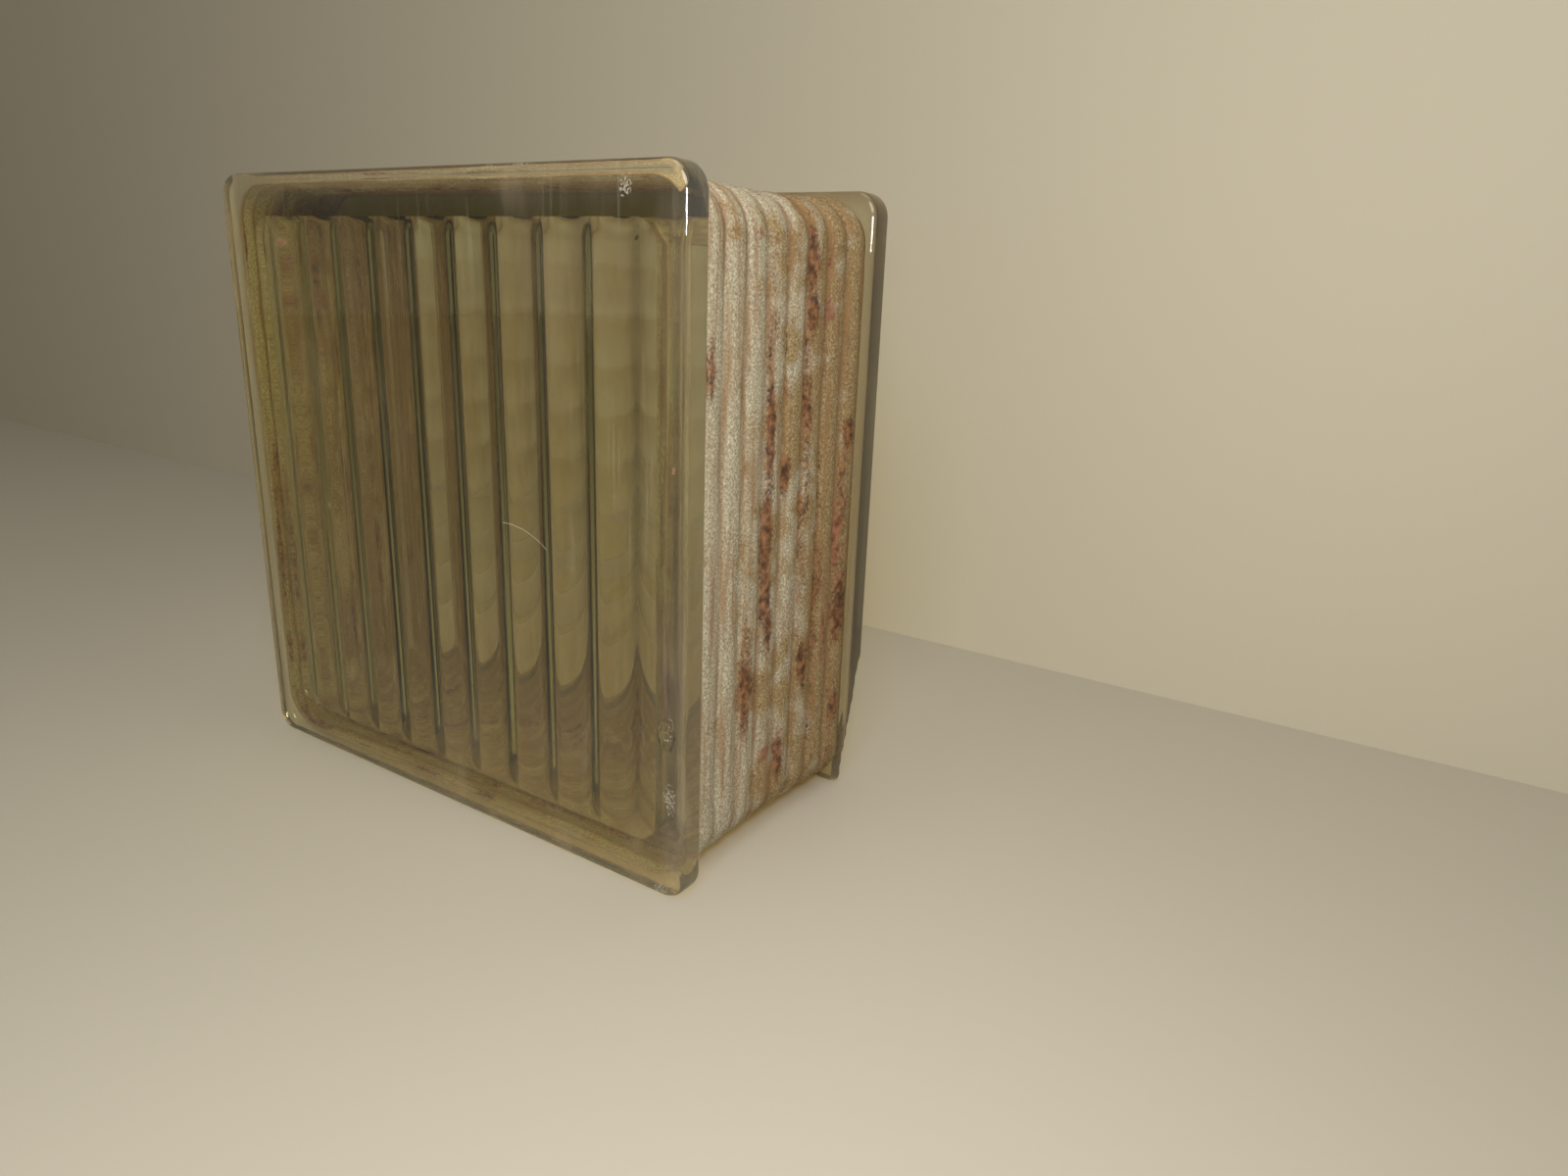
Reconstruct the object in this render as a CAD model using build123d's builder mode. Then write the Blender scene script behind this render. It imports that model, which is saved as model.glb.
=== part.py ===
from build123d import *
from math import asin, cos, radians, tan
import os

# Hollow pressed-glass building block. Two square halves were pressed in the same
# mould and fused rim to rim at mid depth, the rear one turned a quarter, so the
# finished block is one piece of glass round a sealed cavity. The gritty bonding
# coat on its edge wall is well under a millimetre thick and counts in the ribs.
# Frame: X across the face, Y front to back (front face at -Y), Z up, origin at
# the middle of the underside. Millimetres.

# Overall size
block_width = 196.85
block_height = 196.85
block_depth = 98.4

# Rim: the plain square edge of each pane, standing proud of the edge wall
rim_depth = 9.2
rim_corner_radius = 7.5
rim_edge_radius = 2.2

# Edge wall: ribs that run right round the block between the two rims. The wall
# is waisted: the grooves between the ribs sit deeper toward mid depth.
rib_count = 8
rib_height = 1.1
groove_inset_at_rim = 3.0
groove_inset_at_waist = 4.2
wall_corner_radius = 16.0
wall_root_inset = 14.5
core_overlap = 0.5

# Sealed cavity: draft narrows it from the fused seam toward each pane
pane_thickness = 6.9
cavity_inset_at_seam = 11.4
cavity_corner_at_seam = 9.0
cavity_draft = 2.2

# Flutes on the inside of each pane, upright on the front one and level on the rear:
# long lenses that meet in sharp grooves. The row is set out from one edge of the
# cavity, where the last lens runs out in a hollow. The opposite wall cuts off the
# first lens, so the row sits off centre.
lens_radius = 21.0
groove_pitch = 17.46
last_groove_to_edge = 20.4
runout_from_crest = 4.7
lens_end_length = 4.5
lens_end_lift = 0.3
pad_root = 2.0

# Long flake broken off the rear lower corner on the right
flake_height = 53.0
flake_depth = 6.7
flake_hollow = 0.8
flake_bearing = (0.83, 0.557)

half_width = block_width / 2
half_depth = block_depth / 2
mid_height = block_height / 2
wall_start = half_depth - rim_depth
rib_width = 2 * wall_start / rib_count
core_inset = wall_root_inset - core_overlap
seam_to_pane = half_depth - pane_thickness
centre_plane = Plane((0, 0, mid_height), x_dir=(1, 0, 0), z_dir=(0, 1, 0))


def groove_inset(y):
    return groove_inset_at_waist - (groove_inset_at_waist - groove_inset_at_rim) * (y / wall_start) ** 2


# Path round the edge wall, level with the outside of the rims
with BuildLine(centre_plane) as wall_path:
    half_height = mid_height
    r = wall_corner_radius
    Line((half_width, 0), (half_width, half_height - r))
    CenterArc((half_width - r, half_height - r), r, 0, 90)
    Line((half_width - r, half_height), (-half_width + r, half_height))
    CenterArc((-half_width + r, half_height - r), r, 90, 90)
    Line((-half_width, half_height - r), (-half_width, -half_height + r))
    CenterArc((-half_width + r, -half_height + r), r, 180, 90)
    Line((-half_width + r, -half_height), (half_width - r, -half_height))
    CenterArc((half_width - r, -half_height + r), r, 270, 90)
    Line((half_width, -half_height + r), (half_width, 0))

# Outline of each pane between the cavity walls, and the levels of its flutes
cavity_inset_at_pane = cavity_inset_at_seam + seam_to_pane * tan(radians(cavity_draft))
pane_half_width = half_width - cavity_inset_at_pane
pane_half_height = mid_height - cavity_inset_at_pane
half_pitch = groove_pitch / 2
crest_level = lens_radius - (lens_radius**2 - half_pitch**2) ** 0.5
runout_slope = asin(runout_from_crest / lens_radius)
runout_level = crest_level - lens_radius * (1 - cos(runout_slope))


def lens_level(off_crest):
    return crest_level - lens_radius + (lens_radius**2 - off_crest**2) ** 0.5


def flute_pad(half_across, half_along):
    """Flutes of one pane, seen from above, with their ends rounded down to the pane"""
    pad_across = half_across + pad_root
    pad_along = half_along + pad_root
    last_groove = half_across - last_groove_to_edge
    groove_count = int((half_across + last_groove) / groove_pitch) + 1
    first_groove = last_groove - (groove_count - 1) * groove_pitch
    first_crest = first_groove - half_pitch
    cut_middle = (first_groove - pad_across) / 2
    runout_x = last_groove + half_pitch + runout_from_crest
    border_level = runout_level - (half_across - runout_x) * tan(runout_slope / 2)
    with BuildPart() as pad:
        with BuildSketch(Plane.XY.offset(-pad_along)):
            with BuildLine(Location((0, -seam_to_pane))):
                first_lens = ThreePointArc(
                    (-pad_across, lens_level(first_crest + pad_across)),
                    (cut_middle, lens_level(cut_middle - first_crest)),
                    (first_groove, 0),
                )
                for i in range(1, groove_count):
                    x = last_groove - i * groove_pitch
                    ThreePointArc((x, 0), (x + half_pitch, crest_level), (x + groove_pitch, 0))
                last_lens = ThreePointArc(
                    (last_groove, 0), (last_groove + half_pitch, crest_level), (runout_x, runout_level)
                )
                hollow = TangentArc(last_lens @ 1, (half_across, border_level), tangent=last_lens % 1)
                Polyline(
                    hollow @ 1,
                    (pad_across, border_level),
                    (pad_across, -pad_root),
                    (-pad_across, -pad_root),
                    first_lens @ 0,
                )
            make_face()
        extrude(amount=2 * pad_along)
        end_start = half_along - lens_end_length
        end_top = crest_level + lens_end_lift
        end_radius = (lens_end_length**2 + end_top**2) / (2 * end_top)
        root_reach = (end_radius**2 - (end_radius - end_top - pad_root) ** 2) ** 0.5
        with BuildSketch(Plane.YZ.offset(-pad_across)):
            with BuildLine(Location((-seam_to_pane, 0))):
                top = Line((end_top, -end_start), (end_top, end_start))
                upper = RadiusArc(top @ 1, (-pad_root, end_start + root_reach), -end_radius)
                lower = RadiusArc(top @ 0, (-pad_root, -end_start - root_reach), end_radius)
                Line(lower @ 1, upper @ 1)
            make_face()
        extrude(amount=2 * pad_across, mode=Mode.INTERSECT)
    return pad.part


front_flutes = flute_pad(pane_half_width, pane_half_height)
rear_flutes = flute_pad(pane_half_height, pane_half_width)

# Flake: a hollow slice off the corner, seen square to its bearing
flake_plane = Plane(
    (half_width, half_depth, 0),
    x_dir=(flake_bearing[0], flake_bearing[1], 0),
    z_dir=(flake_bearing[1], -flake_bearing[0], 0),
)

# Sealed cavity: its rear left quarter, drafted toward the pane, mirrored twice
with BuildPart() as cavity:
    with BuildSketch(centre_plane):
        RectangleRounded(
            block_width - 2 * cavity_inset_at_seam,
            block_height - 2 * cavity_inset_at_seam,
            cavity_corner_at_seam,
        )
    extrude(amount=seam_to_pane, taper=cavity_draft)
    split(bisect_by=Plane.YZ, keep=Keep.BOTTOM)
    mirror(about=Plane.YZ)
    mirror(about=centre_plane)

# The glass itself
with BuildPart() as glass_block:
    with BuildSketch(centre_plane.offset(-half_depth), centre_plane.offset(wall_start)):
        RectangleRounded(block_width, block_height, rim_corner_radius)
    extrude(amount=rim_depth)
    fillet(glass_block.edges().filter_by(Axis.Y, reverse=True), rim_edge_radius)
    with BuildSketch(centre_plane.offset(-wall_start)):
        Rectangle(block_width - 2 * core_inset, block_height - 2 * core_inset)
    extrude(amount=2 * wall_start)
    with BuildSketch(Plane.XY.offset(mid_height)):
        with BuildLine():
            for i in range(rib_count):
                y0 = -wall_start + i * rib_width
                y1 = y0 + rib_width
                x0 = half_width - groove_inset(y0)
                x1 = half_width - groove_inset(y1)
                ThreePointArc((x0, y0), ((x0 + x1) / 2 + rib_height, (y0 + y1) / 2), (x1, y1))
            x = half_width - groove_inset_at_rim
            wall_root = half_width - wall_root_inset
            Polyline((x, wall_start), (wall_root, wall_start), (wall_root, -wall_start), (x, -wall_start))
        make_face()
    sweep(path=wall_path.wire())
    add(cavity.part, mode=Mode.SUBTRACT)
    with Locations((0, 0, mid_height)):
        add(front_flutes)
        add(rear_flutes, rotation=(0, -90, 180))
    with BuildSketch(flake_plane):
        with BuildLine():
            scar = ThreePointArc(
                (-flake_depth, 0), (-flake_depth / 2 - flake_hollow, flake_height / 2), (0, flake_height)
            )
            Polyline(scar @ 1, (flake_depth, flake_height), (flake_depth, 0), scar @ 0)
        make_face()
    extrude(amount=2 * flake_depth, both=True, mode=Mode.SUBTRACT)

glass_block.part.label = "glass_block"

os.makedirs("parts", exist_ok=True)
export_step(glass_block.part, "parts/glass_block.step")
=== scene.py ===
import random
from math import pi, radians
import bmesh
import bpy
import numpy as np
from mathutils import Matrix, Vector, noise


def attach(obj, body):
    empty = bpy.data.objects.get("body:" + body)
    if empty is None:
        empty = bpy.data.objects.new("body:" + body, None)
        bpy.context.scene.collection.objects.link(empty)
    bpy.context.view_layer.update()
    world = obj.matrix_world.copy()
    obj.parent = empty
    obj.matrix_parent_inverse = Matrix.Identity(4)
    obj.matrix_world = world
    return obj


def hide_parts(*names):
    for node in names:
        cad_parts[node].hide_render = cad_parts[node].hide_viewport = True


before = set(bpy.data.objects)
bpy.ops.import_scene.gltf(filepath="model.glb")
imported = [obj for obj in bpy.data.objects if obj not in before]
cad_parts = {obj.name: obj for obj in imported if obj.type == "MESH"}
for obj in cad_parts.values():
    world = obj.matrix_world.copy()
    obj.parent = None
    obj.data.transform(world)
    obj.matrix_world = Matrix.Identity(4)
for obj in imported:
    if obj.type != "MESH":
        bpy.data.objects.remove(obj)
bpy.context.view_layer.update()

# Camera and light: a hand-held view from the right, from just below the block's top. A
# small lamp sits just above the camera, a softer one higher up behind it and a wide one
# overhead. The room is a little brighter to the camera and through glass than as light.
photo_width = 1600
focal_pixels = 1042
sensor_width = 36
camera_place = Vector((0.2559, -0.2450, 0.1704))
camera_right = Vector((0.8319, 0.5536, 0.0373))
camera_up = Vector((-0.1899, 0.2208, 0.9566))
camera_forward = Vector((-0.5214, 0.8029, -0.2889))
room_colour = (1.0, 0.93, 0.80)
room_strength = 0.17
room_strength_seen = 0.23
camera_data = bpy.data.cameras.new("camera")
camera_data.sensor_width = sensor_width
camera_data.lens = sensor_width * focal_pixels / photo_width
camera_data.clip_start = 0.01
camera = bpy.data.objects.new("camera", camera_data)
camera.matrix_world = Matrix((camera_right, camera_up, -camera_forward)).transposed().to_4x4()
camera.location = camera_place
bpy.context.collection.objects.link(camera)
bpy.context.scene.camera = camera
bpy.context.scene.view_settings.view_transform = "Standard"


def soft_light(name, place, target, size, watts, colour):
    data = bpy.data.lights.new(name, "AREA")
    data.shape = "DISK"
    data.size = size
    data.energy = watts
    data.color = colour
    lamp = bpy.data.objects.new(name, data)
    lamp.location = place
    lamp.rotation_euler = (Vector(target) - Vector(place)).to_track_quat("-Z", "Y").to_euler()
    bpy.context.collection.objects.link(lamp)


soft_light(
    "lamp_by_camera", place=(0.247, -0.234, 0.215), target=(0.02, 0, 0.1),
    size=0.04, watts=0.45, colour=(1.0, 0.96, 0.90),
)
soft_light(
    "lamp_high", place=(0.30, -0.36, 0.44), target=(0.05, 0, 0.08),
    size=0.32, watts=1.8, colour=(1.0, 0.96, 0.88),
)
soft_light(
    "lamp_over", place=(0.1, -0.3, 2.5), target=(0, 0, 0),
    size=1.6, watts=12, colour=(1.0, 0.95, 0.86),
)
world = bpy.data.worlds.new("room_light")
bpy.context.scene.world = world
world.use_nodes = True
nodes, links = world.node_tree.nodes, world.node_tree.links
room = nodes["Background"]
room.inputs["Color"].default_value = (*room_colour, 1)
seen = nodes.new("ShaderNodeLightPath")
either = nodes.new("ShaderNodeMath")
either.operation = "MAXIMUM"
links.new(seen.outputs["Is Camera Ray"], either.inputs[0])
links.new(seen.outputs["Is Transmission Ray"], either.inputs[1])
level = nodes.new("ShaderNodeMapRange")
level.inputs["To Min"].default_value = room_strength
level.inputs["To Max"].default_value = room_strength_seen
links.new(either.outputs["Value"], level.inputs["Value"])
links.new(level.outputs["Result"], room.inputs["Strength"])

# Floor and backdrop: one painted board the block stands on and one upright behind it,
# which is clear from its back so that it hides nothing from behind.
floor_size = 6
backdrop_size = 3
backdrop_behind = 0.2
floor_colour = (0.50, 0.47, 0.40)
backdrop_colour = (0.64, 0.60, 0.48)
bpy.ops.object.select_all(action="DESELECT")
bpy.ops.mesh.primitive_plane_add(size=floor_size, location=(0, 0, 0))
floor = bpy.context.object
floor.name = "floor"
bpy.ops.mesh.primitive_plane_add(
    size=backdrop_size, location=(0, backdrop_behind, 0), rotation=(pi / 2, 0, 0)
)
backdrop = bpy.context.object
backdrop.name = "backdrop"


def board_paint(name, colour, one_sided):
    paint = bpy.data.materials.new(name)
    paint.use_nodes = True
    nodes, links = paint.node_tree.nodes, paint.node_tree.links
    shader = nodes["Principled BSDF"]
    shader.inputs["Base Color"].default_value = (*colour, 1)
    shader.inputs["Roughness"].default_value = 0.6
    if one_sided:
        mix = nodes.new("ShaderNodeMixShader")
        side = nodes.new("ShaderNodeNewGeometry")
        gone = nodes.new("ShaderNodeBsdfTransparent")
        links.new(side.outputs["Backfacing"], mix.inputs["Fac"])
        links.new(shader.outputs["BSDF"], mix.inputs[1])
        links.new(gone.outputs["BSDF"], mix.inputs[2])
        links.new(mix.outputs["Shader"], nodes["Material Output"].inputs["Surface"])
    return paint


floor.data.materials.append(board_paint("pale_floor", floor_colour, False))
backdrop.data.materials.append(board_paint("pale_wall", backdrop_colour, True))

# Glass body. Two halves pressed in one mould and fused at mid depth, one piece of
# soda-lime glass. This is its outer skin: plain rims and the ribbed edge wall.
half_width = 0.098425
height = 0.19685
half_depth = 0.0492
rim_depth = 0.0092
rim_corner_radius = 0.0075
rim_edge_radius = 0.0022
ribs_per_half = 4
rib_height = 0.0011
groove_inset_at_waist = 0.0042
waist_depth = 0.0012
wall_corner_radius = 0.016
wall_start = half_depth - rim_depth
rib_width = wall_start / ribs_per_half
glass_under_coat = 0.0003
cuts_per_rib = 8
steps_per_corner = 12
steps_per_rim_edge = 5
rim_face_border = 0.0004
parting = 0.005
merge_gap = 1e-5
hair = 1e-6


def pick(piece, kind, wanted):
    bpy.ops.mesh.select_mode(type=kind)
    bpy.ops.mesh.select_all(action="DESELECT")
    shape = bmesh.from_edit_mesh(piece.data)
    parts = {"VERT": shape.verts, "EDGE": shape.edges, "FACE": shape.faces}[kind]
    for part in parts:
        if wanted(part):
            part.select_set(True)
    shape.select_flush_mode()
    bmesh.update_edit_mesh(piece.data)


def groove_inset(y):
    return groove_inset_at_waist - waist_depth * (y / wall_start) ** 2


def rib_strip(name, sink):
    """The straight run of the front half's ribs up the right-hand wall, sunk by that much"""
    bpy.ops.object.select_all(action="DESELECT")
    bpy.ops.mesh.primitive_grid_add(
        x_subdivisions=ribs_per_half * cuts_per_rib, y_subdivisions=1, size=1
    )
    strip = bpy.context.object
    strip.name = name
    for v in strip.data.vertices:
        along = (v.co.x + 0.5) * ribs_per_half
        rib = min(int(along + hair), ribs_per_half - 1)
        part = along - rib
        y0 = -wall_start + rib * rib_width
        x0 = half_width - groove_inset(y0)
        x1 = half_width - groove_inset(y0 + rib_width)
        bulge = rib_height * (1 - (2 * part - 1) ** 2)
        z = wall_corner_radius if v.co.y < 0 else height - wall_corner_radius
        v.co = (x0 + (x1 - x0) * part + bulge - sink, y0 + part * rib_width, z)
    return strip


def wrap_round(strip):
    """Carries the strip's upper end round the other three sides"""
    bpy.ops.object.mode_set(mode="EDIT")
    top = height - wall_corner_radius
    pick(strip, "VERT", lambda v: v.co.z > top - merge_gap)
    turn_x = half_width - wall_corner_radius
    run = 2 * turn_x
    corners = [
        (turn_x, top), (-turn_x, top), (-turn_x, wall_corner_radius), (turn_x, wall_corner_radius)
    ]
    runs = [(-run, 0), (0, -run), (run, 0), None]
    for (x, z), step in zip(corners, runs):
        bpy.ops.mesh.spin(steps=steps_per_corner, angle=pi / 2, center=(x, 0, z), axis=(0, 1, 0))
        if step:
            move = {"value": (step[0], 0, step[1])}
            bpy.ops.mesh.extrude_region_move(TRANSFORM_OT_translate=move)
    bpy.ops.mesh.select_all(action="SELECT")
    bpy.ops.mesh.remove_doubles(threshold=merge_gap)
    bpy.ops.object.mode_set(mode="OBJECT")


def add_rear_half(piece):
    halves = piece.modifiers.new("halves", "MIRROR")
    halves.use_axis = (False, True, False)
    halves.use_clip = True
    halves.merge_threshold = merge_gap
    bpy.ops.object.modifier_apply(modifier="halves")


def join_to_body(part):
    part.select_set(True)
    body.select_set(True)
    bpy.context.view_layer.objects.active = body
    bpy.ops.object.join()


body = rib_strip("glass_body", glass_under_coat)
wrap_round(body)
bpy.ops.object.select_all(action="DESELECT")
bpy.ops.mesh.primitive_plane_add(
    size=height, location=(0, -half_depth, height / 2), rotation=(pi / 2, 0, 0)
)
rim = bpy.context.object
rim.name = "rim"
bpy.ops.object.transform_apply(location=True, rotation=True, scale=True)
bpy.ops.object.mode_set(mode="EDIT")
bpy.ops.mesh.select_all(action="SELECT")
bpy.ops.mesh.bevel(offset=rim_corner_radius, segments=steps_per_corner, affect="VERTICES")
bpy.ops.mesh.select_all(action="SELECT")
bpy.ops.mesh.extrude_region_move(TRANSFORM_OT_translate={"value": (0, rim_depth, 0)})
pick(rim, "EDGE", lambda e: abs(e.verts[0].co.y - e.verts[1].co.y) < hair)
bpy.ops.mesh.bevel(offset=rim_edge_radius, segments=steps_per_rim_edge, affect="EDGES")
pick(
    rim, "FACE",
    lambda f: all(abs(v.co.y + wall_start) < hair for v in f.verts) and len(f.verts) > 4,
)
bpy.ops.mesh.delete(type="FACE")
pick(rim, "FACE", lambda f: len(f.verts) > 4)
bpy.ops.mesh.inset(thickness=rim_face_border)
bpy.ops.mesh.poke()
bpy.ops.mesh.select_all(action="SELECT")
bpy.ops.transform.translate(value=(0, -parting, 0))
bpy.ops.object.mode_set(mode="OBJECT")
join_to_body(rim)
bpy.ops.object.mode_set(mode="EDIT")
pick(
    body, "EDGE",
    lambda e: e.is_boundary and all(v.co.y < -wall_start + hair for v in e.verts),
)
bpy.ops.mesh.bridge_edge_loops()
pick(body, "VERT", lambda v: v.co.y < -wall_start - parting / 2)
bpy.ops.transform.translate(value=(0, parting, 0))
bpy.ops.mesh.select_all(action="SELECT")
bpy.ops.mesh.normals_make_consistent(inside=False)
bpy.ops.object.mode_set(mode="OBJECT")
add_rear_half(body)

# Inside of the glass: the skin of the sealed cavity, with long lenses on both panes. The
# rear half is the front one turned round and a quarter over, as from the same mould.
pane_thickness = 0.0075
seam_to_pane = half_depth - pane_thickness
cavity_half = 0.0854
cavity_corner = 0.007
seam_grow = 1.0188
flute_pitch = 0.01746
lens_radius = 0.021
crest_height = 0.00136
last_groove = 0.1634 - half_width
last_crest = last_groove + flute_pitch / 2
runout_from_crest = 0.0047
groove_round = 0.0008
groove_fill = 0.55
lens_end_length = 0.0045
lens_side_length = 0.003
pane_cuts = 160


def lens(off):
    """Height of a lens over the pane at off from its crest"""
    return crest_height - lens_radius + (lens_radius**2 - off**2) ** 0.5


def wave(x):
    """Height of the flutes over the pane at x from the middle"""
    if x > last_crest:
        off = x - last_crest
        if off < runout_from_crest:
            return lens(off)
        left = max(0, cavity_half - x)
        run = cavity_half - last_crest - runout_from_crest
        slope = runout_from_crest / (lens_radius**2 - runout_from_crest**2) ** 0.5
        return slope / (2 * run) * left**2
    off = (x - last_crest + flute_pitch / 2) % flute_pitch - flute_pitch / 2
    near = flute_pitch / 2 - abs(off)
    fill = max(0, groove_round - near) ** 2 / (2 * groove_round) * groove_fill
    return lens(off) + fill


bpy.ops.object.select_all(action="DESELECT")
bpy.ops.mesh.primitive_grid_add(x_subdivisions=pane_cuts, y_subdivisions=pane_cuts, size=2)
cavity = bpy.context.object
cavity.name = "cavity"
reach = cavity_half - cavity_corner


def edge_at(along):
    """How far the rounded outline of the cavity reaches at that place along the other axis"""
    over = max(0, abs(along) - reach)
    return reach + (cavity_corner**2 - min(over, cavity_corner) ** 2) ** 0.5


def round_end(gap, length):
    """Share of a lens's height at gap from its end, which is rounded off over length"""
    part = min(1, max(0, gap / length))
    return (1 - (1 - part) ** 2) ** 0.5


for v in cavity.data.vertices:
    x, z = v.co.x * cavity_half, v.co.y * cavity_half
    over_x, over_z = (abs(x) - reach) / cavity_corner, (abs(z) - reach) / cavity_corner
    if over_x > 0 and over_z > 0:
        k = max(over_x, over_z) / (over_x**2 + over_z**2) ** 0.5
        x = (reach + over_x * k * cavity_corner) * (1 if x > 0 else -1)
        z = (reach + over_z * k * cavity_corner) * (1 if z > 0 else -1)
    ease = round_end(edge_at(x) - abs(z), lens_end_length)
    ease *= round_end(edge_at(z) - abs(x), lens_side_length)
    v.co = (x, -seam_to_pane + wave(x) * ease, z + height / 2)
middle = (0, 0, height / 2)
bpy.ops.object.mode_set(mode="EDIT")
pick(cavity, "EDGE", lambda e: e.is_boundary)
bpy.ops.mesh.extrude_region_move(TRANSFORM_OT_translate={"value": (0, seam_to_pane, 0)})
bpy.ops.transform.resize(value=(seam_grow, 1, seam_grow), center_override=middle)
bpy.ops.mesh.select_all(action="SELECT")
bpy.ops.mesh.duplicate()
bpy.ops.transform.rotate(value=pi, orient_axis="Z", center_override=middle)
bpy.ops.transform.rotate(value=pi / 2, orient_axis="Y", center_override=middle)
bpy.ops.mesh.select_all(action="SELECT")
bpy.ops.mesh.remove_doubles(threshold=2 * merge_gap)
bpy.ops.mesh.normals_make_consistent(inside=True)
bpy.ops.object.mode_set(mode="OBJECT")
join_to_body(cavity)

# Breaks in the glass: a long rippled flake off the rear lower corner on the right, and a
# small shell-shaped chip in the front rim. Both are cut from the block.
flake_height = 0.053
flake_depth = 0.0067
flake_hollow = 0.0008
flake_across = Vector((0.83, 0.557, 0))
flake_along = Vector((0.557, -0.83, 0))
flake_width = 0.03
flake_past_end = 0.04
flake_cutter_depth = 0.012
flake_cuts = (60, 40)
ripple_relief = 0.00012
ripple_spacing = 1 / 70
ripple_squash = 0.35
ripple_middle = 0.2
scar_relief = 0.0005
scar_scale = 5
chip_x = 0.0926
chip_z = 0.051
chip_half_width = 0.0031
chip_depth = 0.0011
chip_half_height = 0.0052
chip_cuts = (40, 24)
chip_rings = 16
chip_ring_slant = 3
chip_ring_relief = 0.05
chip_ragged = 0.22
chip_ragged_scale = 2.2
smooth_angle = radians(28)
bpy.ops.object.select_all(action="DESELECT")
bpy.ops.mesh.primitive_grid_add(
    x_subdivisions=flake_cuts[0], y_subdivisions=flake_cuts[1], size=1
)
flake = bpy.context.object
for v in flake.data.vertices:
    up = (v.co.x + 0.5) * (1 + 2 * flake_past_end) - flake_past_end
    scar = -flake_depth * (1 - up) - flake_hollow * 4 * up * (1 - up)
    ring = (v.co.x**2 + (v.co.y - ripple_middle) ** 2 * ripple_squash) ** 0.5
    scar += ripple_relief * np.sin(ring / ripple_spacing)
    scar += noise.noise(v.co * scar_scale) * scar_relief
    corner = Vector((half_width, half_depth, up * flake_height))
    v.co = corner + flake_across * scar + flake_along * v.co.y * flake_width
outward = {"value": flake_across * flake_cutter_depth}
bpy.ops.object.mode_set(mode="EDIT")
bpy.ops.mesh.select_all(action="SELECT")
bpy.ops.mesh.extrude_region_move(TRANSFORM_OT_translate=outward)
bpy.ops.mesh.select_all(action="SELECT")
bpy.ops.mesh.normals_make_consistent(inside=False)
bpy.ops.object.mode_set(mode="OBJECT")
bpy.ops.mesh.primitive_uv_sphere_add(segments=chip_cuts[0], ring_count=chip_cuts[1], radius=1)
chip = bpy.context.object
for v in chip.data.vertices:
    rings = np.sin(v.co.z * chip_rings + v.co.x * chip_ring_slant)
    ragged = noise.noise(v.co * chip_ragged_scale)
    ripple = 1 + chip_ring_relief * rings + chip_ragged * ragged
    v.co = (
        chip_x + v.co.x * chip_half_width * ripple,
        -half_depth + v.co.y * chip_depth,
        chip_z + v.co.z * chip_half_height * ripple,
    )
for cutter in (flake, chip):
    cut = body.modifiers.new("cut", "BOOLEAN")
    cut.operation = "DIFFERENCE"
    cut.object = cutter
    bpy.context.view_layer.objects.active = body
    bpy.ops.object.modifier_apply(modifier="cut")
    bpy.data.objects.remove(cutter)
bpy.ops.object.select_all(action="DESELECT")
body.select_set(True)
bpy.ops.object.shade_smooth_by_angle(angle=smooth_angle)

# Surface of the glass: clear with an olive cast that deepens along it. On it lie a thin
# film of dirt, thicker on the rims, light scuffs, a curved scratch on the front, crumbs
# of mortar and specks of rust.
glass_ior = 1.52
glass_tint = (0.56, 0.53, 0.10)
glass_density = 40
glass_to_lamps = (0.86, 0.82, 0.74)
fresh_dirt = (0.94, 0.92, 0.84)
old_dirt = (0.74, 0.64, 0.46)
rear_dirt = (0.46, 0.37, 0.23)
mortar_colour = (0.46, 0.43, 0.35)
speck_colour = (0.42, 0.17, 0.08)
scratch_x = 0.1315 - half_width
scratch_z = 0.0740
scratch_radius = 0.0264
scratch_half_width = 0.00012
# (x, z, half width, half height) in mm on the front face, from its left lower corner
mortar_crumbs = [
    (177.5, 190.5, 3.4, 4.2), (192.3, 31.5, 3.6, 8.0), (191, 51, 3, 6), (141, 196.6, 8, 1.6),
    (189.5, 2.0, 6, 5),
]
rust_specks = [
    (32.5, 176, 5, 2), (45, 93, 1.3, 1.6), (28.6, 41, 1.2, 6), (0.5, 19, 3, 4),
    (193, 123.6, 1, 1.4), (130, 196.6, 4, 1.2),
]
scratched_part = (138.5, 98, 10, 7)


def noise_at(scale, detail, stretch=(1, 1, 1), rough=0.5):
    mapping = nodes.new("ShaderNodeMapping")
    mapping.inputs["Scale"].default_value = stretch
    links.new(coords.outputs["Object"], mapping.inputs["Vector"])
    tex = nodes.new("ShaderNodeTexNoise")
    tex.inputs["Scale"].default_value = scale
    tex.inputs["Detail"].default_value = detail
    tex.inputs["Roughness"].default_value = rough
    links.new(mapping.outputs["Vector"], tex.inputs["Vector"])
    return tex.outputs["Fac"]


def ramp(source, stops, span=1):
    """Values or colours by source, with their stops between 0 and span"""
    node = nodes.new("ShaderNodeValToRGB")
    while len(node.color_ramp.elements) < len(stops):
        node.color_ramp.elements.new(0.5)
    for element, (at, colour) in zip(node.color_ramp.elements, stops):
        element.position = at / span
        if not isinstance(colour, tuple):
            colour = (colour, colour, colour)
        element.color = (*colour, 1)
    links.new(source if span == 1 else times(source, 1 / span), node.inputs["Fac"])
    return node.outputs["Color"]


def maths(kind, first, second=0):
    node = nodes.new("ShaderNodeMath")
    node.operation = kind
    for socket, value in zip(node.inputs, (first, second)):
        if isinstance(value, (int, float)):
            socket.default_value = value
        else:
            links.new(value, socket)
    return node.outputs["Value"]


def times(first, second):
    return maths("MULTIPLY", first, second)


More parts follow.
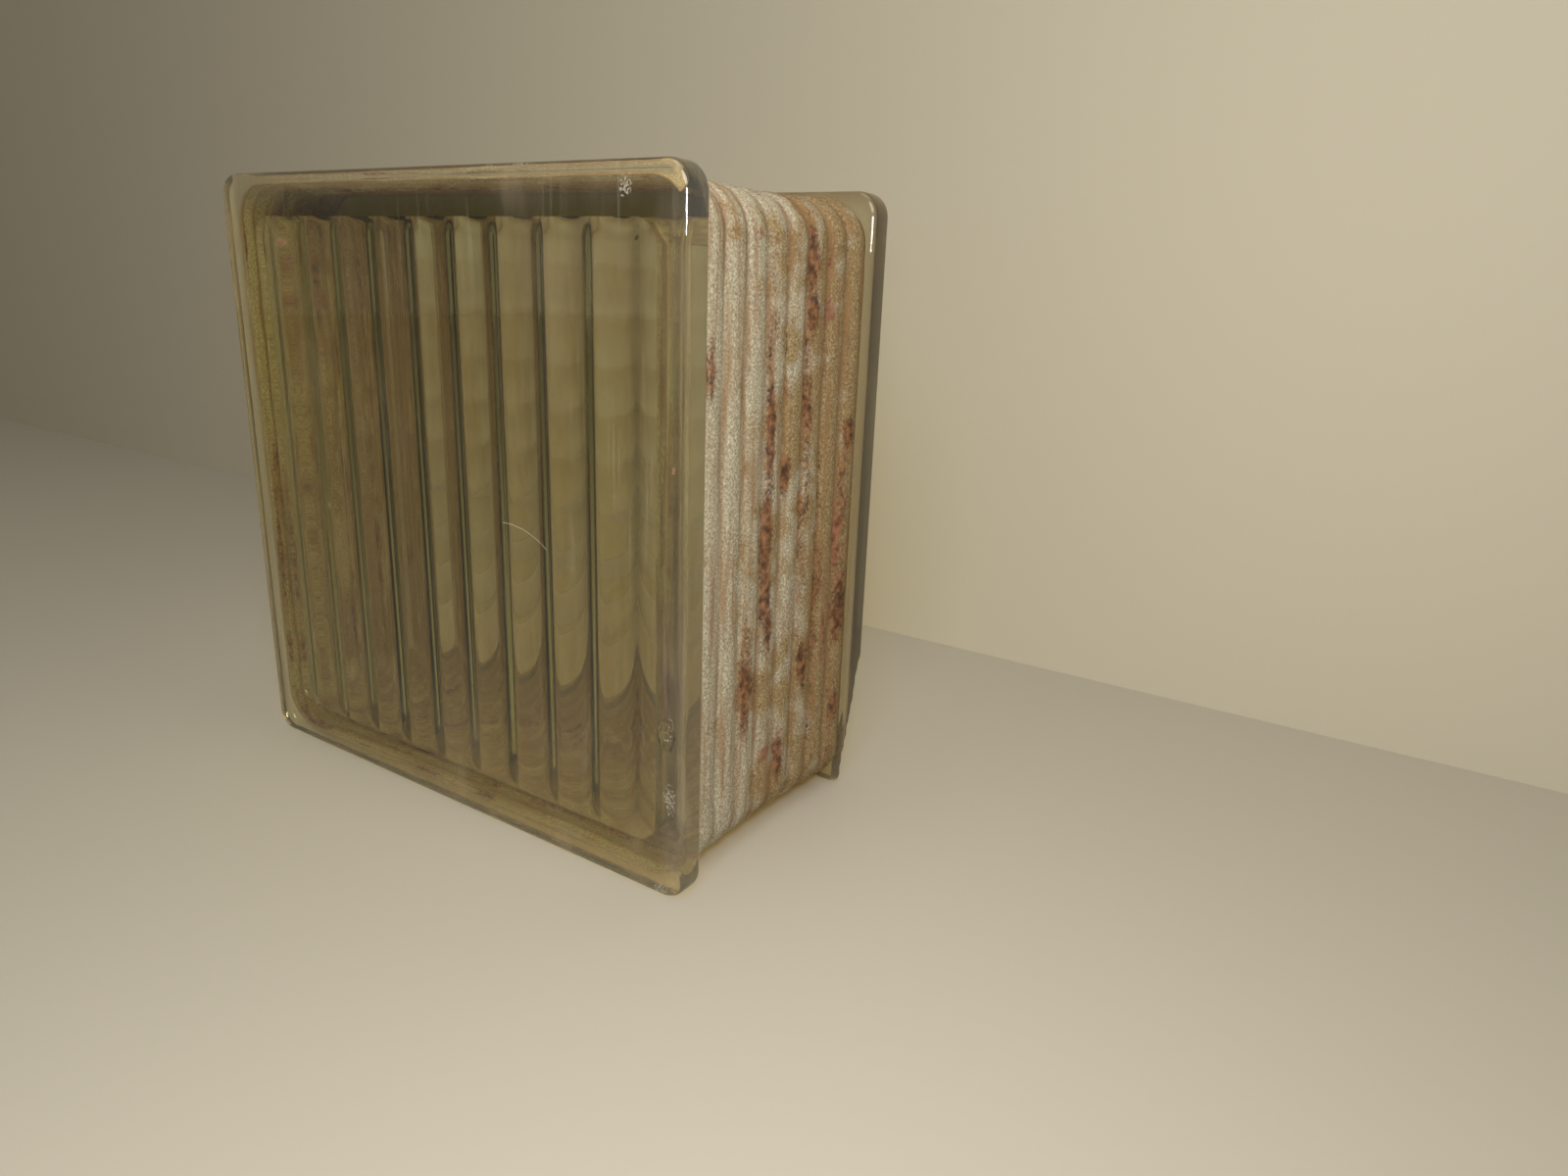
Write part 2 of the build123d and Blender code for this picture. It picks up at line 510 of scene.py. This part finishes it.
def plus(first, second):
    return maths("ADD", first, second)


def minus(first, second):
    return maths("SUBTRACT", first, second)


def swing(source, share):
    """Noise swung about 0, times share"""
    return times(minus(source, 0.5), share)


def blend(amount, under, over):
    node = nodes.new("ShaderNodeMix")
    node.data_type = "RGBA"
    sockets = [i for i in node.inputs if i.enabled]
    for socket, value in zip(sockets, (amount, under, over)):
        if isinstance(value, tuple):
            socket.default_value = (*value, 1)
        else:
            links.new(value, socket)
    return [o for o in node.outputs if o.enabled][0]


def axes():
    """Where a point lies along X, Y and Z"""
    node = nodes.new("ShaderNodeSeparateXYZ")
    links.new(coords.outputs["Object"], node.inputs["Vector"])
    return [node.outputs[axis] for axis in "XYZ"]


def pass_lamps(shader, tint, share):
    """Lets that share of the lamps' light through to what lies behind the surface"""
    lamp_ray = nodes.new("ShaderNodeLightPath").outputs["Is Shadow Ray"]
    through = nodes.new("ShaderNodeBsdfTransparent")
    through.inputs["Color"].default_value = (*tint, 1)
    surface = nodes.new("ShaderNodeMixShader")
    links.new(lamp_ray if share == 1 else times(lamp_ray, share), surface.inputs["Fac"])
    links.new(shader, surface.inputs[1])
    links.new(through.outputs["BSDF"], surface.inputs[2])
    links.new(surface.outputs["Shader"], nodes["Material Output"].inputs["Surface"])


def spot(x, z, wide, tall):
    """A mark on the front face, strongest at its middle"""
    mapping = nodes.new("ShaderNodeMapping")
    mapping.vector_type = "TEXTURE"
    mapping.inputs["Location"].default_value = (x / 1000 - half_width, -half_depth, z / 1000)
    mapping.inputs["Scale"].default_value = (wide / 1000, 0.002, tall / 1000)
    links.new(coords.outputs["Object"], mapping.inputs["Vector"])
    ball = nodes.new("ShaderNodeTexGradient")
    ball.gradient_type = "SPHERICAL"
    links.new(mapping.outputs["Vector"], ball.inputs["Vector"])
    return ball.outputs["Fac"]


def crumbled(marks, lift, start):
    """The marks with ragged outlines: lift makes them fuller, start is where they begin"""
    total = 0
    for mark in marks:
        total = maths("MAXIMUM", spot(*mark), total)
    return ramp(times(total, plus(lift, crumble)), [(start, 0.0), (0.6, 1.0)])


glass = bpy.data.materials.new("olive_glass")
glass.use_nodes = True
nodes, links = glass.node_tree.nodes, glass.node_tree.links
clear = nodes["Principled BSDF"]
coords = nodes.new("ShaderNodeTexCoord")
clear.inputs["Roughness"].default_value = 0.0
clear.inputs["IOR"].default_value = glass_ior
at_x, at_y, at_z = axes()
from_side = maths("ABSOLUTE", at_x)
from_level = maths("ABSOLUTE", minus(at_z, height / 2))
edge = ramp(maths("MAXIMUM", from_side, from_level), [(0.086, 0.0), (0.097, 1.0)], span=0.1)
rear = times(edge, ramp(at_y, [(0.037, 0.0), (0.042, 1.0)], span=0.05))
dirt = times(noise_at(70, 5, (1, 1, 0.35), 0.6), noise_at(14, 3))
film = ramp(dirt, [(0.2, 0.008), (0.32, 0.025), (0.45, 0.10)])
film = times(film, plus(plus(1, times(edge, 1.6)), times(rear, 2.5)))
scuff = ramp(noise_at(420, 3, (1, 1, 0.05), 0.6), [(0.60, 0.0), (0.74, 0.05)])
film = plus(plus(film, scuff), plus(times(edge, 0.02), times(rear, 0.06)))
grime = ramp(dirt, [(0.2, fresh_dirt), (0.4, old_dirt)])
grime = blend(rear, grime, rear_dirt)
crumble = swing(noise_at(1500, 4), 5)
mortar = crumbled(mortar_crumbs, 0.6, 0.34)
specks = crumbled(rust_specks, 0.8, 0.3)
off_x = minus(at_x, scratch_x)
off_z = minus(at_z, scratch_z)
reach_out = maths("POWER", plus(times(off_x, off_x), times(off_z, off_z)), 0.5)
off_line = maths("ABSOLUTE", minus(reach_out, scratch_radius))
line = maths("LESS_THAN", off_line, scratch_half_width)
scratch = times(line, maths("GREATER_THAN", spot(*scratched_part), 0.05))
film = maths("MAXIMUM", film, times(scratch, 0.3))
film = maths("MAXIMUM", film, times(maths("MAXIMUM", mortar, specks), 0.65))
grime = blend(specks, blend(mortar, grime, mortar_colour), speck_colour)
links.new(minus(1, film), clear.inputs["Transmission Weight"])
links.new(grime, clear.inputs["Base Color"])
pass_lamps(clear.outputs["BSDF"], glass_to_lamps, 1)
tint = nodes.new("ShaderNodeVolumeAbsorption")
tint.inputs["Color"].default_value = (*glass_tint, 1)
tint.inputs["Density"].default_value = glass_density
links.new(tint.outputs["Volume"], nodes["Material Output"].inputs["Volume"])
body.data.materials.clear()
body.data.materials.append(glass)
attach(body, "root")
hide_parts("glass_block")

# Grit coat. A sand-filled bonding coat was brushed on the ribs between the rims so
# that mortar would hold. It is pale on the front ribs, and rust, old mortar and brick
# dust have stained it along the grooves.
coat_thickness = 0.0006
coat_cuts_along = 130
mark_depth = 0.003
mark_scatter = 0.085
unseen_strength = 0.8
coat_lumps = [(900, 0.00006), (260, 0.00009), (90, 0.00012)]
bump_height = 0.0004
coat_to_lamps = (0.95, 0.90, 0.78)
tan_colour = (0.42, 0.25, 0.115)
# (y, along, half width, half length, strength) in mm on the right-hand wall, y from
# the middle and along from the floor
rust_marks = [
    (-36.2, 148, 1.6, 7, 0.9), (-7.2, 128, 2.0, 18, 1.0), (-7.6, 92, 2.2, 30, 1.0),
    (-5.5, 70, 2.0, 12, 0.8), (11.6, 176, 2.6, 9, 1.0), (12.4, 162, 2.6, 8, 0.9),
    (1.4, 116, 2.0, 6, 0.9), (9.6, 107, 1.2, 6, 0.8), (-16.0, 55, 3.4, 14, 0.9),
    (-27.6, 71, 1.0, 1.4, 0.9), (2.4, 26, 2.4, 9, 0.9), (14.2, 54, 2.8, 9, 0.9),
    (34.4, 125, 3.6, 6, 0.8), (34.6, 68, 4.4, 15, 0.9), (34.6, 32, 3.0, 8, 0.8),
    (-10.6, 100, 1.0, 60, 0.5), (20.4, 150, 1.0, 30, 0.5), (0.2, 150, 1.0, 30, 0.4),
    (20.2, 90, 1.2, 40, 0.55), (10.2, 130, 0.9, 50, 0.5), (-8.0, 120, 3.0, 70, 0.52),
    (12.0, 130, 2.6, 70, 0.52), (33.0, 90, 4.5, 60, 0.46), (21.0, 60, 2.8, 60, 0.44),
    (-17.0, 60, 2.2, 40, 0.38), (-39.0, 146, 0.9, 12, 0.9), (4.0, 191, 22, 2.5, 0.4),
]
brick_marks = [
    (-14.8, 182, 1.4, 1.4, 1.0), (21.6, 162, 2.8, 3.6, 0.9), (-5.5, 29.6, 2.6, 2.6, 1.3),
    (14.8, 189, 10, 3, 0.6), (30.4, 92, 4.4, 22, 0.55), (26.0, 62, 4.0, 16, 0.55),
    (-31.0, 183, 2.0, 2.0, 0.6), (22.0, 176, 3.0, 6, 0.6), (6.0, 74, 3.0, 16, 0.45),
    (-20.5, 150, 1.0, 12, 0.35),
]
coat = rib_strip("grit_coat", 0)
wrap_round(coat)
bpy.ops.object.mode_set(mode="EDIT")
pick(coat, "EDGE", lambda e: e.calc_length() > 0.1)
bpy.ops.mesh.subdivide(number_cuts=coat_cuts_along)
bpy.ops.mesh.select_all(action="SELECT")
bpy.ops.mesh.normals_make_consistent(inside=False)
bpy.ops.object.mode_set(mode="OBJECT")
add_rear_half(coat)


def spots(marks):
    """Right-hand marks as points in metres, and a scatter of the like on the three unseen walls"""
    found = []
    for y, z, w, l, s in marks:
        found.append((half_width - mark_depth, y / 1000, z / 1000, w / 1000, l / 1000, s))
    chance = random.Random(len(marks))
    for wall in ("top", "bottom", "left"):
        for y, _, w, l, s in marks:
            off = chance.uniform(-mark_scatter, mark_scatter)
            x, z = {
                "top": (off, height - mark_depth),
                "bottom": (off, mark_depth),
                "left": (-half_width + mark_depth, height / 2 + off),
            }[wall]
            side = chance.choice((-1, 1))
            found.append((x, side * y / 1000, z, w / 1000, l / 1000, s * unseen_strength))
    return found


def stain(name, marks):
    layer = coat.data.attributes.new(name, "FLOAT", "POINT")
    where = np.empty(len(coat.data.vertices) * 3)
    coat.data.vertices.foreach_get("co", where)
    where = where.reshape(-1, 3)
    total = np.zeros(len(where))
    for x, y, z, wide, long, strength in spots(marks):
        across = (where[:, 1] - y) / wide
        along = np.hypot(where[:, 0] - x, where[:, 2] - z) / long
        total = np.maximum(total, strength * np.exp(-(across**2) - along**2))
    layer.data.foreach_set("value", total)


def painted(name):
    node = nodes.new("ShaderNodeAttribute")
    node.attribute_name = name
    return node.outputs["Fac"]


stain("rust", rust_marks)
stain("brick", brick_marks)
groove = coat.data.attributes.new("groove", "FLOAT", "POINT")
normals = [v.normal.copy() for v in coat.data.vertices]  # all read before a vertex moves
for v, mark, normal in zip(coat.data.vertices, groove.data, normals):
    part = (v.co.y + wall_start) / rib_width % 1
    mark.value = abs(2 * part - 1) ** 3
    v.co += normal * sum(noise.noise(v.co * scale) * tall for scale, tall in coat_lumps)
skin = coat.modifiers.new("skin", "SOLIDIFY")
skin.thickness = coat_thickness
skin.offset = -1
bpy.ops.object.select_all(action="DESELECT")
coat.select_set(True)
bpy.context.view_layer.objects.active = coat
bpy.ops.object.modifier_apply(modifier="skin")
bpy.ops.object.shade_smooth()

grit = bpy.data.materials.new("grit")
grit.use_nodes = True
nodes, links = grit.node_tree.nodes, grit.node_tree.links
shader = nodes["Principled BSDF"]
coords = nodes.new("ShaderNodeTexCoord")
grain = noise_at(1500, 3)
patch = noise_at(90, 4)
streak = noise_at(30, 4, (1, 14, 1))
pale = ramp(
    grain, [(0.3, (0.36, 0.335, 0.26)), (0.52, (0.63, 0.59, 0.475)), (0.72, (0.93, 0.89, 0.78))]
)
olive = ramp(
    grain, [(0.3, (0.25, 0.175, 0.085)), (0.55, (0.49, 0.37, 0.19)), (0.75, (0.79, 0.65, 0.39))]
)
front_to_back = plus(times(axes()[1], 0.5 / wall_start), 0.5)
rearward = ramp(plus(front_to_back, swing(patch, 2.2)), [(0.35, 0.0), (0.68, 0.92)])
colour = blend(rearward, pale, olive)
tan = ramp(plus(streak, times(painted("groove"), 0.16)), [(0.5, 0.0), (0.68, 1.0)])
colour = blend(times(tan, 0.66), colour, tan_colour)
mottle = plus(swing(noise_at(240, 5, (1, 1, 0.45), 0.6), 1.7), swing(noise_at(1000, 3), 1.5))
blotch = noise_at(420, 4)
rust_tone = ramp(
    blotch,
    [(0.36, (0.095, 0.043, 0.024)), (0.5, (0.25, 0.112, 0.052)), (0.64, (0.48, 0.245, 0.115))],
)
brick_tone = ramp(blotch, [(0.36, (0.27, 0.10, 0.055)), (0.6, (0.52, 0.26, 0.17))])
rust = ramp(plus(times(painted("rust"), 1.5), mottle), [(0.36, 0.0), (0.90, 1.0)])
brick = ramp(plus(times(painted("brick"), 1.4), mottle), [(0.44, 0.0), (0.80, 1.0)])
colour = blend(times(rust, 0.9), colour, rust_tone)
colour = blend(times(brick, 0.8), colour, brick_tone)
links.new(colour, shader.inputs["Base Color"])
sparkle = ramp(noise_at(2600, 2), [(0.55, 0.8), (0.72, 0.22)])
links.new(sparkle, shader.inputs["Roughness"])
bump = nodes.new("ShaderNodeBump")
bump.inputs["Strength"].default_value = 0.9
bump.inputs["Distance"].default_value = bump_height
rough = plus(noise_at(1100, 4, rough=0.65), times(noise_at(300, 3), 0.8))
links.new(rough, bump.inputs["Height"])
links.new(bump.outputs["Normal"], shader.inputs["Normal"])
inward = nodes.new("ShaderNodeBsdfTranslucent")
links.new(colour, inward.inputs["Color"])
glow = nodes.new("ShaderNodeMixShader")
glow.inputs["Fac"].default_value = 0.5
links.new(shader.outputs["BSDF"], glow.inputs[1])
links.new(inward.outputs["BSDF"], glow.inputs[2])
pass_lamps(glow.outputs["Shader"], coat_to_lamps, 0.9)
coat.data.materials.append(grit)
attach(coat, "root")
